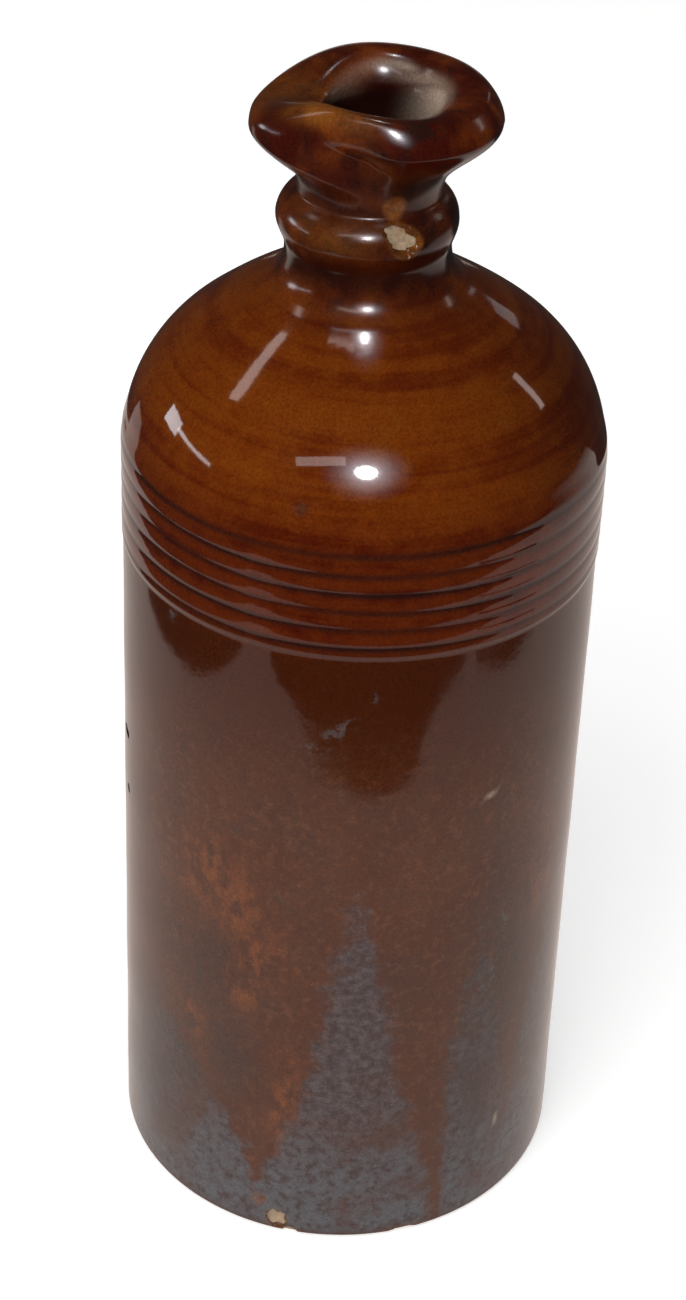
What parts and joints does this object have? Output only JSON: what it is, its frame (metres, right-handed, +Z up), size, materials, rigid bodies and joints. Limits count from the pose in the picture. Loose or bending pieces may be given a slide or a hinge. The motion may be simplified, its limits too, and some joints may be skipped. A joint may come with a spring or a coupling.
{
  "type": "master ink bottle",
  "caption": "Tall cylindrical stoneware ink bottle with brown glaze, combed rings at a domed shoulder, collared neck, thick pouring lip with a pressed spout, and a cork in its throat.",
  "frame": {"origin": "centre of the underside, on the bottle's axis, on the surface that it stands on", "axes": "+Z up along the bottle's axis, the pouring spout towards -X"},
  "size_m": [0.0944, 0.0944, 0.2445],
  "materials": {
    "stoneware": "bare fired buff clay, matt and slightly gritty",
    "glaze": "glossy iron-brown glaze that runs into mottled grey towards the foot",
    "cork": "natural cork, matt, with small dark pores"
  },
  "bodies": {
    "bottle": {"stoneware_body": "stoneware", "glaze_coat": "glaze"},
    "stopper": {"cork_stopper": "cork"}
  },
  "joints": [
    {"name": "stopper_pull", "type": "slide", "parent": "bottle", "child": "stopper", "axis": [0, 0, 1], "range_m": [0, 0.045]}
  ]
}
